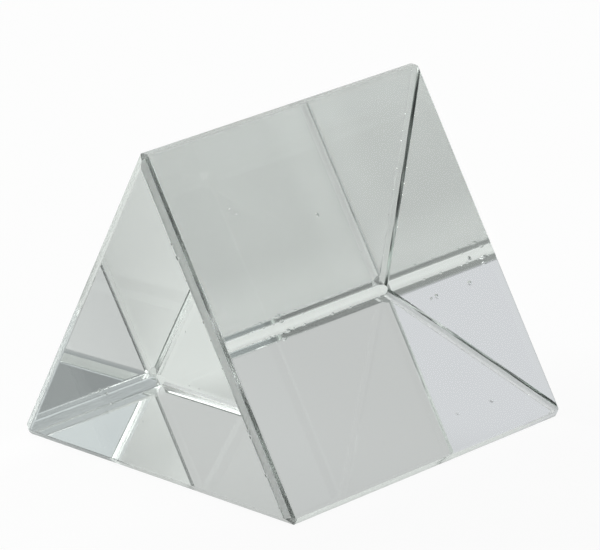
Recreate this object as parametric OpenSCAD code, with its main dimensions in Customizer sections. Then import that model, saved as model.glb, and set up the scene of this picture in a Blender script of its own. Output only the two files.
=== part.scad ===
// Triangular glass prism: one solid block of clear glass that lies on its lower rectangular face.
// X runs along the block, Y across it towards the back, and Z up to the upper long edge.
// The origin is in the middle of the lower face. Lengths are in millimetres.

/* [Block] */
// Width of the lower face, to the sharp edges it had before they were bevelled
base_w = 50; // [20:0.5:100]
// Height of the triangle, from the lower face to the sharp upper edge
tri_h = 44; // [18:0.5:90]
// Length between the two triangular end faces
block_len = 50; // [15:0.5:150]

/* [Bevels] */
// Width of the flat ground along each of the three long edges
long_bevel_w = 1.5; // [0.2:0.1:4]
// Width of the flat ground along the three edges of the left end face
left_bevel_w = 1.5; // [0.2:0.1:4]
// Width of the flat ground along the three edges of the right end face
right_bevel_w = 1.3; // [0.2:0.1:4]

/* [Hidden] */

// Pale grey green of clear glass seen through its own thickness
glass_colour = [0.80, 0.86, 0.83, 0.55];

// An end bevel leans halfway between the end face and the face beside it
end_bevel_tilt = 45;

// Sharp corners of the end triangle as [y, z]: front, back and top
corners = [[-base_w / 2, 0], [base_w / 2, 0], [0, tri_h]];
corner_count = len(corners);

// Which end a bevel belongs to, as the sign of X, and how wide that end's bevels are
ends = [[-1, left_bevel_w], [1, right_bevel_w]];

// Corner number i, counted round the triangle
function corner(i) = corners[i % corner_count];

// Unit vector from one point to another
function toward(from, to) = (to - from) / norm(to - from);

// Inner angle of the triangle at corner i
function corner_angle(i) =
    acos(toward(corner(i), corner(i + 1)) * toward(corner(i), corner(i + 2)));

// How far along each face a long bevel starts, for its flat to come out at its stated width
function setback(i) = long_bevel_w / (2 * sin(corner_angle(i) / 2));

// The end triangle with its three corners cut off flat
bevelled_outline = [
    for (i = [0 : corner_count - 1], neighbour = [i + 2, i + 1])
        corner(i) + setback(i) * toward(corner(i), corner(neighbour))
];

// The full length of the block, with its long edges bevelled
module long_block() {
    rotate([90, 0, 90])
        linear_extrude(height = block_len, center = true)
            polygon(bevelled_outline);
}

// The glass ground away where an end face meets the lower face
module end_bevel_cut(side, flat_w, edge_len) {
    cut_depth = 2 * flat_w;
    translate([side * block_len / 2, 0, 0])
        rotate([0, 90 - side * end_bevel_tilt, 0])
            translate([-flat_w / 2, -edge_len / 2, -cut_depth / 2])
                cube([cut_depth, edge_len, cut_depth]);
}

// The same cut at both ends of the rectangular face that joins corners i and i + 1
module face_end_cuts(i) {
    along = toward(corner(i), corner(i + 1));
    middle = (corner(i) + corner(i + 1)) / 2;
    face_w = norm(corner(i + 1) - corner(i));
    translate([0, middle[0], middle[1]])
        rotate([atan2(along[1], along[0]), 0, 0])
            for (end = ends)
                end_bevel_cut(end[0], end[1], face_w);
}

module glass_prism() {
    color(glass_colour)
        difference() {
            long_block();
            for (i = [0 : corner_count - 1])
                face_end_cuts(i);
        }
}

glass_prism();
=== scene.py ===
import math
import random

import bmesh
import bpy
from mathutils import Matrix, Vector


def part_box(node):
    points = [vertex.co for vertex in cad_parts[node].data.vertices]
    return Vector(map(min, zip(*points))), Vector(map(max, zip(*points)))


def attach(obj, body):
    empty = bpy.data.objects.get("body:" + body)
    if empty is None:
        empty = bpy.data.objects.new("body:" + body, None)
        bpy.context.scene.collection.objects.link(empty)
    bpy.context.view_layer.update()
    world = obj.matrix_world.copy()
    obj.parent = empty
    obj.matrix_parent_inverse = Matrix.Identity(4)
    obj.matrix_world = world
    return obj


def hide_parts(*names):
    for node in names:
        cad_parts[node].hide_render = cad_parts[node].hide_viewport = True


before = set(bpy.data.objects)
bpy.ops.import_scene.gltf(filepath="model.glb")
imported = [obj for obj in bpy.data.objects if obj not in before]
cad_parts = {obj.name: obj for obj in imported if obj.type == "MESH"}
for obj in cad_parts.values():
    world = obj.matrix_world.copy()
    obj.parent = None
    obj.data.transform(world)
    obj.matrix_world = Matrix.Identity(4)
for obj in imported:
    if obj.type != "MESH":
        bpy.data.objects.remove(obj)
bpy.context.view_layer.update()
mm = 0.001
print("frame loaded:", sorted(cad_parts))


# wraps one shader socket, so that maths on sockets reads as an expression
class Wire:
    def __init__(self, tree, socket=None):
        self.tree = tree
        self.socket = socket

    # any node: its settings come first, then the values or links of its sockets
    def node(self, kind, settings=None, inputs=None, out=0):
        made = self.tree.nodes.new(kind)
        for name, value in (settings or {}).items():
            setattr(made, name, value)
        for name, value in (inputs or {}).items():
            if isinstance(value, Wire):
                self.tree.links.new(value.socket, made.inputs[name])
            else:
                made.inputs[name].default_value = value
        return Wire(self.tree, made.outputs[out] if len(made.outputs) else None)

    def maths(self, operation, first, second):
        return self.node("ShaderNodeMath", {"operation": operation}, {0: first, 1: second})

    def __add__(self, other):
        return self.maths("ADD", self, other)

    def __radd__(self, other):
        return self.maths("ADD", other, self)

    def __sub__(self, other):
        return self.maths("SUBTRACT", self, other)

    def __rsub__(self, other):
        return self.maths("SUBTRACT", other, self)

    def __mul__(self, other):
        return self.maths("MULTIPLY", self, other)

    def __rmul__(self, other):
        return self.maths("MULTIPLY", other, self)


# empties the nodes of a material or a world
def blankSheet(owner):
    owner.use_nodes = True
    owner.node_tree.nodes.clear()
    return Wire(owner.node_tree)


# a direction: azimuth turns from +Y towards +X, in degrees
def aim(azimuth, elevation=0):
    turn, lift = math.radians(azimuth), math.radians(elevation)
    return (math.sin(turn) * math.cos(lift), math.cos(turn) * math.cos(lift), math.sin(lift))


# how far a place lies in one direction
def reachTo(place, azimuth, elevation=0):
    return place.node("ShaderNodeVectorMath", {"operation": "DOT_PRODUCT"}, {
        0: place, 1: aim(azimuth, elevation)}, out="Value")


# 0 at the start and 1 at the stop
def fade(value, start, stop, curve):
    return value.node("ShaderNodeMapRange", {"interpolation_type": curve}, {
        "Value": value, "From Min": start, "From Max": stop})


def newPiece(name, bm):
    mesh = bpy.data.meshes.new(name)
    bm.to_mesh(mesh)
    bm.free()
    piece = bpy.data.objects.new(name, mesh)
    bpy.context.scene.collection.objects.link(piece)
    return piece


# the block of glass: a blank cut down by one plane after another
block = {
    "baseWidth": 50 * mm,       # lower face, to its sharp edges
    "sharpHeight": 44 * mm,     # lower face to the sharp upper edge
    "blankSize": 200 * mm,      # side of the cube that the block is cut from
    "cutSlack": 1e-7,           # points this near to a cut count as on it
    "mergeReach": 2e-6,         # points this near to each other become one
    "sliver": 1e-6,             # anything narrower counts as nothing
    "roundSteps": 2,            # narrow cuts that make up a worn round
    "cornerDepth": 1.5 * mm,    # how far the small flats on the corners lie below the sharp corners
    "cornerRough": 1.5,
    # a bevel lies between two faces, and its flats run from the first to the second
    # a flat is its lean as a share of the turn between the faces, its width in millimetres and how rough
    # it was left, and "worn" is how far the worn rounds reach on the bevel's two sides, in millimetres
    "bevels": [
        {"faces": ("left", "front"), "worn": (0.10, 0.10), "flats": [
            (0.36, 0.14, 2.4), (0.40, 0.82, 7.6), (0.42, 0.34, 1.9), (0.46, 0.14, 2.2), (0.74, 0.16, 0.8)]},
        {"faces": ("left", "rear"), "worn": (0.20, 0.10), "flats": [(0.34, 1.70, 0.8)]},
        {"faces": ("left", "base"), "worn": (0.10, 0.10), "flats": [(0.50, 1.50, 0.8)]},
        {"faces": ("right", "front"), "worn": (0.10, 0.10), "flats": [(0.50, 1.30, 0.8)]},
        {"faces": ("right", "rear"), "worn": (0.08, 0.15), "flats": [
            (0.185, 0.16, 0.5), (0.215, 0.16, 0.5), (0.315, 0.16, 0.5), (0.335, 0.16, 0.5),
            (0.55, 0.80, 1.2)]},
        {"faces": ("right", "base"), "worn": (0, 0.15), "flats": [
            (0.215, 0.18, 0.5), (0.27, 0.14, 0.5), (0.295, 0.14, 0.5),
            (0.455, 0.50, 3.6), (0.65, 0.38, 3.6)]},
        {"faces": ("front", "rear"), "worn": (0.30, 0.30), "flats": [(0.50, 1.27, 0.8)]},
        {"faces": ("rear", "base"), "worn": (0.25, 0.25), "flats": [(0.50, 1.50, 0.45)]},
        {"faces": ("front", "base"), "worn": (0.30, 0.30), "flats": [(0.50, 1.20, 0.8)]},
    ],
}


# a plane is its outward normal and its reach from the origin
def facePlanes():
    low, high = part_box("glass_prism")
    half, height = block["baseWidth"] / 2, block["sharpHeight"]
    slope = math.hypot(half, height)
    return {
        "left": (Vector((-1, 0, 0)), -low.x),
        "right": (Vector((1, 0, 0)), high.x),
        "front": (Vector((0, -height, half)) / slope, half * height / slope),
        "rear": (Vector((0, height, half)) / slope, half * height / slope),
        "base": (Vector((0, 0, -1)), 0.0),
    }


# the point where three planes meet
def meeting(first, second, third):
    return Matrix((first[0], second[0], third[0])).inverted() @ Vector((first[1], second[1], third[1]))


# the plane through the line where two planes meet, leaning from the first towards the second
def between(first, second, share):
    turn = first[0].angle(second[0])
    one = math.sin(turn * (1 - share)) / math.sin(turn)
    other = math.sin(turn * share) / math.sin(turn)
    return first[0] * one + second[0] * other, first[1] * one + second[1] * other


# planes that touch the round worn between a face and the flat beside it
def roundPlanes(face, flat, worn):
    if worn == 0:
        return []
    turn = face[0].angle(flat[0])
    radius = worn / math.tan(turn / 2)
    planes = []
    for step in range(block["roundSteps"]):
        share = (step + 0.5) / block["roundSteps"]
        normal, reach = between(face, flat, share)
        level = (math.cos(turn * share) + math.cos(turn * (1 - share))) / (1 + math.cos(turn))
        planes.append((normal, reach - radius * (level - 1), flat[2]))
    return planes


# the flats of one bevel, set so far below the sharp edge that each gets its width
def bevelFlats(first, second, flats):
    turn = first[0].angle(second[0])
    spans = [width * mm * math.sin(turn * (1 - share)) for share, width, rough in flats]
    firstGap = sum(spans) / math.sin(turn)
    secondGap = 0.0
    planes = []
    for share, width, rough in flats:
        normal, reach = between(first, second, share)
        one, other = math.sin(turn * (1 - share)), math.sin(turn * share)
        planes.append((normal, reach - firstGap * other - secondGap * one, rough))
        firstGap -= width * mm * one / math.sin(turn)
        secondGap += width * mm * other / math.sin(turn)
    return planes


# every plane of the block with how rough it is and the direction of its grinding marks
def blockPlanes():
    faces = facePlanes()
    planes = [(*plane, 0.0, Vector((1, 0, 0))) for plane in faces.values()]
    for bevel in block["bevels"]:
        one, other = [faces[name] for name in bevel["faces"]]
        oneWorn, otherWorn = [worn * mm for worn in bevel["worn"]]
        along = one[0].cross(other[0]).normalized()
        flats = bevelFlats(one, other, bevel["flats"])
        rounds = roundPlanes(one, flats[0], oneWorn) + roundPlanes(other, flats[-1], otherWorn)
        planes += [(*plane, along) for plane in flats + rounds]
    for end in ("left", "right"):
        for one, other in (("front", "rear"), ("rear", "base"), ("front", "base")):
            outward = ((faces[one][0] + faces[other][0]).normalized() + faces[end][0]).normalized()
            reach = outward.dot(meeting(faces[one], faces[other], faces[end])) - block["cornerDepth"]
            planes.append((outward, reach, block["cornerRough"], outward.orthogonal().normalized()))
    return planes


def makeBlock():
    bm = bmesh.new()
    bmesh.ops.create_cube(bm, size=block["blankSize"])
    planes = blockPlanes()
    for normal, reach, rough, along in planes:
        everything = bm.verts[:] + bm.edges[:] + bm.faces[:]
        bmesh.ops.bisect_plane(bm, geom=everything, dist=block["cutSlack"], plane_co=normal * reach,
                               plane_no=normal, clear_outer=True)
        rim = [edge for edge in bm.edges if edge.is_boundary]
        bmesh.ops.holes_fill(bm, edges=rim, sides=0)
    bmesh.ops.remove_doubles(bm, verts=bm.verts, dist=block["mergeReach"])
    bmesh.ops.dissolve_degenerate(bm, edges=bm.edges, dist=block["sliver"])
    bmesh.ops.recalc_face_normals(bm, faces=bm.faces)
    ground = bm.faces.layers.float.new("ground")
    marks = bm.loops.layers.uv.new("marks")
    for face in bm.faces:
        normal, reach, rough, along = max(planes, key=lambda plane: plane[0].dot(face.normal))
        face[ground] = rough
        across = along.cross(normal)
        for loop in face.loops:
            loop[marks].uv = (loop.vert.co.dot(along) / mm, loop.vert.co.dot(across) / mm)
    print("block cut by", len(planes), "planes")
    return newPiece("glassBlock", bm)


# small damage: chips on the borders of the bevels and pits in the faces, with lengths in millimetres
damage = {
    "seed": 11,
    "rough": 0.35,
    "ballSteps": 2,             # subdivisions of the ball that a scoop is made from
    "jitter": 0.12,             # how uneven a scoop is, as a share of half its width
    "spacing": 3.2,             # mean distance of the tiny chips along a border
    "tiny": (0.05, 0.16),       # half their width
    "stretch": (1.0, 2.0),      # their length as a share of their width
    "sink": (0.3, 0.6),         # their depth as a share of half their width
    "spread": (0.4, 1.6),       # distance to the next one as a share of the mean
    # bevels with a ragged border: part of its length, mean distance of the chips and half their width
    "ragged": {
        ("rear", "base", 0): (-10, 3, 1.1, (0.08, 0.22)),
        ("rear", "base", 1): (-18, 3, 0.8, (0.10, 0.30)),
    },
    # larger chips: bevel, which of its borders, place along it, half length, half width and depth
    "chips": [
        ("rear", "base", 0, -6.1, 0.60, 0.35, 0.20),
        ("rear", "base", 0, -2.9, 0.45, 0.25, 0.12),
        ("rear", "base", 1, -3.2, 0.55, 0.30, 0.16),
        ("rear", "base", 1, -6.5, 0.80, 0.40, 0.24),
        ("rear", "base", 1, -9.6, 0.50, 0.30, 0.15),
        ("rear", "base", 1, -14.8, 0.45, 0.30, 0.15),
        ("left", "front", 1, 29.1, 0.40, 0.30, 0.12),
        ("left", "front", 1, 23.3, 0.45, 0.30, 0.12),
        ("left", "front", 0, 23.9, 0.50, 0.35, 0.14),
        ("left", "front", 0, 0.2, 0.45, 0.25, 0.10),
        ("left", "front", 0, -4.9, 0.45, 0.25, 0.10),
        ("front", "base", 1, -6.0, 0.60, 0.30, 0.10),
        ("front", "base", 0, 9.0, 0.40, 0.25, 0.08),
        ("left", "base", 0, -7.0, 0.45, 0.30, 0.10),
    ],
    # pits: face, place on it, half width and depth
    "pits": [
        ("front", (19.57, -13.36, 20.49), 0.30, 0.26),
        ("front", (-1.91, -7.52, 30.77), 0.28, 0.24),
        ("front", (-15.2, -5.27, 34.73), 0.40, 0.13),
        ("front", (-14.44, -5.7, 33.97), 0.45, 0.15),
        ("front", (11.69, -14.85, 17.86), 0.42, 0.17),
        ("front", (10.7, -14.9, 17.77), 0.30, 0.13),
        ("front", (17.9, -14.84, 17.89), 0.45, 0.20),
        ("front", (13.67, -22.2, 4.92), 0.50, 0.20),
        ("front", (7.37, -22.15, 5.02), 0.42, 0.13),
    ],
}


# the two ends of the sharp edge between two faces, where a third face meets it
def edgeEnds(faces, one, other):
    ends = []
    edge = faces[one][0].cross(faces[other][0])
    for third in faces.values():
        if abs(edge.dot(third[0])) > block["sliver"]:
            point = meeting(faces[one], faces[other], third)
            if all(normal.dot(point) < reach + block["sliver"] for normal, reach in faces.values()):
                ends.append(point)
    return ends


# one rough scoop, to be taken out of the glass at a place on its surface
def addScoop(bm, layers, dice, place, outward, along, size, depth):
    across = outward.cross(along)
    turn = Matrix((along, across, outward)).transposed().to_4x4()
    centre = place + outward * (size[2] - depth)
    shape = Matrix.Translation(centre) @ turn @ Matrix.Diagonal((*size, 1))
    made = bmesh.ops.create_icosphere(bm, subdivisions=damage["ballSteps"], radius=1, matrix=shape)["verts"]
    jitter = damage["jitter"]
    for vert in made:
        vert.co += Vector([dice.uniform(-jitter, jitter) * size[1] for axis in range(3)])
    for face in {face for vert in made for face in vert.link_faces}:
        face[layers[0]] = damage["rough"]
        face.smooth = True
        for loop in face.loops:
            loop[layers[1]].uv = (loop.vert.co.x / mm, loop.vert.co.z / mm)


# the chips on one border of a bevel: place along it, half length, half width and depth
def borderChips(dice, border, ends):
    chips = [[size * mm for size in chip[3:]] for chip in damage["chips"] if chip[:3] == border]
    margin = damage["spacing"] * mm
    runs = [(min(ends) + margin, max(ends) - margin, margin, damage["tiny"])]
    if border in damage["ragged"]:
        start, stop, spacing, sizes = damage["ragged"][border]
        runs.append((start * mm, stop * mm, spacing * mm, sizes))
    for place, stop, spacing, sizes in runs:
        while place < stop:
            width = dice.uniform(*sizes) * mm
            length = width * dice.uniform(*damage["stretch"])
            depth = width * dice.uniform(*damage["sink"])
            chips.append((place, length, width, depth))
            place += spacing * dice.uniform(*damage["spread"])
    return chips


def makeScoops():
    dice = random.Random(damage["seed"])
    faces = facePlanes()
    bm = bmesh.new()
    layers = bm.faces.layers.float.new("ground"), bm.loops.layers.uv.new("marks")
    for bevel in block["bevels"]:
        one, other = bevel["faces"]
        along = faces[one][0].cross(faces[other][0]).normalized()
        flats = bevelFlats(faces[one], faces[other], bevel["flats"])
        ends = [end.dot(along) for end in edgeEnds(faces, one, other)]
        for number, (side, flat) in enumerate(((faces[one], flats[0]), (faces[other], flats[-1]))):
            outward = (side[0] + flat[0]).normalized()
            for place, length, width, depth in borderChips(dice, (one, other, number), ends):
                point = meeting(side, flat, (along, place))
                addScoop(bm, layers, dice, point, outward, along, (length, width, width), depth)
    for face, place, width, depth in damage["pits"]:
        outward = faces[face][0]
        along = outward.orthogonal().normalized()
        addScoop(bm, layers, dice, Vector(place) * mm, outward, along, (width * mm,) * 3, depth * mm)
    print("chips and pits:", len(bm.faces), "faces to cut with")
    return newPiece("scoops", bm)


def cutScoops(piece, scoops):
    cut = piece.modifiers.new("scoops", "BOOLEAN")
    cut.operation = "DIFFERENCE"
    cut.solver = "EXACT"
    cut.use_self = True
    cut.object = scoops
    ready = piece.evaluated_get(bpy.context.evaluated_depsgraph_get())
    mesh = bpy.data.meshes.new_from_object(ready)
    piece.modifiers.clear()
    piece.data = mesh
    bpy.data.objects.remove(scoops)


glass = {
    "ior": 1.52,
    "tint": (0.905, 0.99, 0.94),
    "density": 8.0,             # how fast the tint grows with the light's path
    "bounces": 12,              # how often the light may turn inside the block
    "bevelRoughness": 0.12,
    # grinding marks on the bevels, per millimetre
    "streaks": {"along": 0.22, "across": 6.0, "share": 0.7, "detail": 3.0, "grit": 0.6},
    "scratch": 0.004 * mm,      # their depth
    # wiping marks on the polished faces
    "haze": {"scale": 70.0, "detail": 2.0, "swirl": 1.5, "start": 0.45, "full": 0.75, "most": 0.025},
}


def makeGlass():
    material = bpy.data.materials.new("clearGlass")
    sheet = blankSheet(material)
    ground = sheet.node("ShaderNodeAttribute", {"attribute_name": "ground"}, out="Fac")
    streaks, haze = glass["streaks"], glass["haze"]
    marks = sheet.node("ShaderNodeUVMap", {"uv_map": "marks"})
    marks = sheet.node("ShaderNodeVectorMath", {"operation": "MULTIPLY"}, {
        0: marks, 1: (streaks["along"], streaks["across"], 0)})
    marks = sheet.node("ShaderNodeTexNoise", {"noise_dimensions": "2D"}, {
        "Vector": marks, "Scale": 1.0, "Detail": streaks["detail"], "Roughness": streaks["grit"]})
    bevels = ground * glass["bevelRoughness"] * (marks * streaks["share"] + (1 - streaks["share"] / 2))
    place = sheet.node("ShaderNodeTexCoord", out="Object")
    clouds = sheet.node("ShaderNodeTexNoise", {}, {
        "Vector": place, "Scale": haze["scale"], "Detail": haze["detail"], "Distortion": haze["swirl"]})
    wiped = sheet.node("ShaderNodeMapRange", {}, {
        "Value": clouds, "From Min": haze["start"], "From Max": haze["full"], "To Max": haze["most"]})
    scratches = sheet.node("ShaderNodeBump", {}, {
        "Strength": 1.0, "Distance": glass["scratch"], "Height": marks * ground})
    surface = sheet.node("ShaderNodeBsdfPrincipled", {}, {
        "Base Color": (1, 1, 1, 1),
        "Roughness": sheet.maths("MAXIMUM", bevels, wiped),
        "Normal": scratches,
        "IOR": glass["ior"],
        "Transmission Weight": 1.0,
    })
    body = sheet.node("ShaderNodeVolumeAbsorption", {}, {
        "Color": (*glass["tint"], 1),
        "Density": glass["density"],
    })
    sheet.node("ShaderNodeOutputMaterial", {}, {"Surface": surface, "Volume": body})
    return material


stage = {
    "floorSize": 4.0,
    "floorDrop": 0.02 * mm,     # the glass lies on the floor with a hair of air under it
    "floorColour": (0.66, 0.68, 0.655),
    # painted light and shade on the floor, which show almost only through the glass: painted pools of light
    # along the rear edge and the right end, painted shade under the left half, beside the right end and in
    # front of the block; how much lighter or darker each is, then the fades that bound it
    # a fade is an azimuth, how far that way it begins, and where it is full, in millimetres
    "paintedLightPatches": [
        # painted pool of light that the block gathers along its rear edge
        (1.36, [(0, 16, 21), (0, 26.5, 23), (90, 27, 23)]),             # along the rear edge
        (1.20, [(90, 17, 21), (90, 25, 23.8), (0, 20, 15)]),            # along the right end
        # painted shade under the left half, then painted shadow beside the right end and in front of the
        # block
        (0.92, [(-90, -8, 2), (0, 20, 15)]),                            # under the left half
        (0.78, [(90, 23.6, 25.2), (90, 46, 36), (0, 20, 8)]),           # shade beside the right end
        (0.40, [(180, 6, 30)]),                                         # and in front of the block
    ],
    "whiteSeen": 0.95,          # share of plain white in what the camera sees of the floor
    "whiteThrough": 0.335,      # and in what is seen of it through the glass or in a reflection
}


def makeFloor():
    bm = bmesh.new()
    bmesh.ops.create_grid(bm, x_segments=1, y_segments=1, size=stage["floorSize"] / 2)
    bmesh.ops.translate(bm, verts=bm.verts, vec=(0, 0, -stage["floorDrop"]))
    floor = newPiece("floor", bm)
    material = bpy.data.materials.new("paleFloor")
    sheet = blankSheet(material)
    place = sheet.node("ShaderNodeTexCoord", out="Object")
    # painted light and shade: each patch lightens or darkens the floor's colour, standing in for the
    # block's shadow and the light it gathers
    tone = 1
    for gain, fades in stage["paintedLightPatches"]:
        change = gain - 1
        for azimuth, start, stop in fades:
            change = change * fade(reachTo(place, azimuth), start * mm, stop * mm, "LINEAR")
        tone = tone * (1 + change)
    colour = sheet.node("ShaderNodeVectorMath", {"operation": "SCALE"}, {
        0: stage["floorColour"], "Scale": tone})
    paint = sheet.node("ShaderNodeBsdfDiffuse", {}, {"Color": colour})
    white = sheet.node("ShaderNodeEmission", {}, {"Color": (1, 1, 1, 1), "Strength": 1.0})
    camera = sheet.node("ShaderNodeLightPath", out="Is Camera Ray")
    glossy = sheet.node("ShaderNodeLightPath", out="Is Glossy Ray")
    through = sheet.node("ShaderNodeLightPath", out="Is Transmission Ray")
    share = camera * stage["whiteSeen"] + sheet.maths("MAXIMUM", glossy, through) * stage["whiteThrough"]
    both = sheet.node("ShaderNodeMixShader", {}, {0: share, 1: paint, 2: white})
    sheet.node("ShaderNodeOutputMaterial", {}, {"Surface": both})
    floor.data.materials.append(material)
    print("floor laid with", len(stage["paintedLightPatches"]), "soft patches")


# the studio as the glass sees it: a low even wall whose upper edge slants, a dim zone above it,
# bright upper walls and a ceiling, with two dark shapes and two faint tints in them
studio = {
    # lower edge and half of its soft width in degrees, even light, how much one side gains, its azimuth
    "zones": [
        (0, 0, 0.668, 0.09, -115),
        (23.46, 0.7, 0.37, 0.20, 18),
        (51.3, 6, 1.55, 0.65, -115),
        (75, 7, 2.60, 0.00, 0),
    ],
    "slant": {"rise": 2.16, "azimuth": 177.5},
    "shades": [
        {"azimuth": -131, "elevation": 23, "inner": 15, "outer": 24, "dark": 0.54},
        {"azimuth": 122, "elevation": 25, "inner": 10.9, "outer": 12.1, "dark": 0.36},
    ],
    "tints": [
        {"azimuth": -47, "elevation": 18, "inner": 15, "outer": 45, "colour": (0.985, 0.985, 1.03)},
        {"azimuth": 136, "elevation": 25, "inner": 15, "outer": 45, "colour": (0.955, 1.005, 1.03)},
    ],
}


# 1 inside a disc of the sky and 0 outside it, with a soft edge
def softDisc(place, disc):
    near = reachTo(place, disc["azimuth"], disc["elevation"])
    outer, inner = math.cos(math.radians(disc["outer"])), math.cos(math.radians(disc["inner"]))
    return fade(near, outer, inner, "SMOOTHSTEP")


def makeSky():
    world = bpy.data.worlds.new("studio")
    bpy.context.scene.world = world
    sheet = blankSheet(world)
    place = sheet.node("ShaderNodeTexCoord", out="Generated")
    height = sheet.node("ShaderNodeSeparateXYZ", {}, {0: place}, out="Z")
    lift = sheet.node("ShaderNodeMath", {"operation": "ARCSINE"}, {0: height})
    level = sheet.node("ShaderNodeVectorMath", {"operation": "MULTIPLY"}, {0: place, 1: (1, 1, 0)})
    level = sheet.node("ShaderNodeVectorMath", {"operation": "NORMALIZE"}, {0: level})
    lift = lift - reachTo(level, studio["slant"]["azimuth"]) * math.radians(studio["slant"]["rise"])
    light = None
    for lower, soft, even, gain, azimuth in studio["zones"]:
        zone = reachTo(level, azimuth) * gain + even
        if light is None:
            light = zone
            continue
        above = fade(lift, math.radians(lower - soft), math.radians(lower + soft), "SMOOTHSTEP")
        light = light + (zone - light) * above
    for disc in studio["shades"]:
        light = light * (1.0 - softDisc(place, disc) * disc["dark"])
    tint = (1, 1, 1, 1)
    for disc in studio["tints"]:
        tint = sheet.node("ShaderNodeMix", {"data_type": "RGBA"}, {
            0: softDisc(place, disc), 6: tint, 7: (*disc["colour"], 1)}, out=2)
    walls = sheet.node("ShaderNodeVectorMath", {"operation": "SCALE"}, {0: tint, "Scale": light})
    camera = sheet.node("ShaderNodeLightPath", out="Is Camera Ray")
    seen = sheet.node("ShaderNodeMix", {"data_type": "RGBA"}, {0: camera, 6: walls, 7: (1, 1, 1, 1)}, out=2)
    back = sheet.node("ShaderNodeBackground", {}, {"Color": seen, "Strength": 1.0})
    sheet.node("ShaderNodeOutputWorld", {}, {"Surface": back})
    print("studio light:", len(studio["zones"]), "zones")


shot = {
    "turn": -44.91,             # degrees about the upright axis, from looking along +Y
    "elevation": 19.508,
    "roll": -1.791,
    "distance": 628.3 * mm,
    "aim": (2.411 * mm, 0.281 * mm, 19.799 * mm),
    "lens": 295.0,              # in millimetres, as the sensor is
    "sensor": 36,
    "clipStart": 10 * mm,
}


def makeCamera():
    lens = bpy.data.cameras.new("camera")
    lens.lens = shot["lens"]
    lens.sensor_width = shot["sensor"]
    lens.clip_start = shot["clipStart"]
    camera = bpy.data.objects.new("camera", lens)
    bpy.context.scene.collection.objects.link(camera)
    turn = (Matrix.Rotation(math.radians(shot["turn"]), 4, "Z")
            @ Matrix.Rotation(math.radians(90 - shot["elevation"]), 4, "X")
            @ Matrix.Rotation(math.radians(shot["roll"]), 4, "Z"))
    back = turn.to_3x3() @ Vector((0, 0, 1))
    camera.matrix_world = Matrix.Translation(Vector(shot["aim"]) + back * shot["distance"]) @ turn
    bpy.context.scene.camera = camera
    print("camera set")


makeCamera()
glassBlock = makeBlock()
cutScoops(glassBlock, makeScoops())
glassBlock.data.materials.append(makeGlass())
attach(glassBlock, "root")
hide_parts("glass_prism")
print("glass block:", len(glassBlock.data.polygons), "faces")
makeFloor()
makeSky()

scene = bpy.context.scene
scene.view_settings.view_transform = "Standard"
scene.cycles.max_bounces = glass["bounces"]
scene.cycles.glossy_bounces = glass["bounces"]
scene.cycles.transmission_bounces = glass["bounces"]
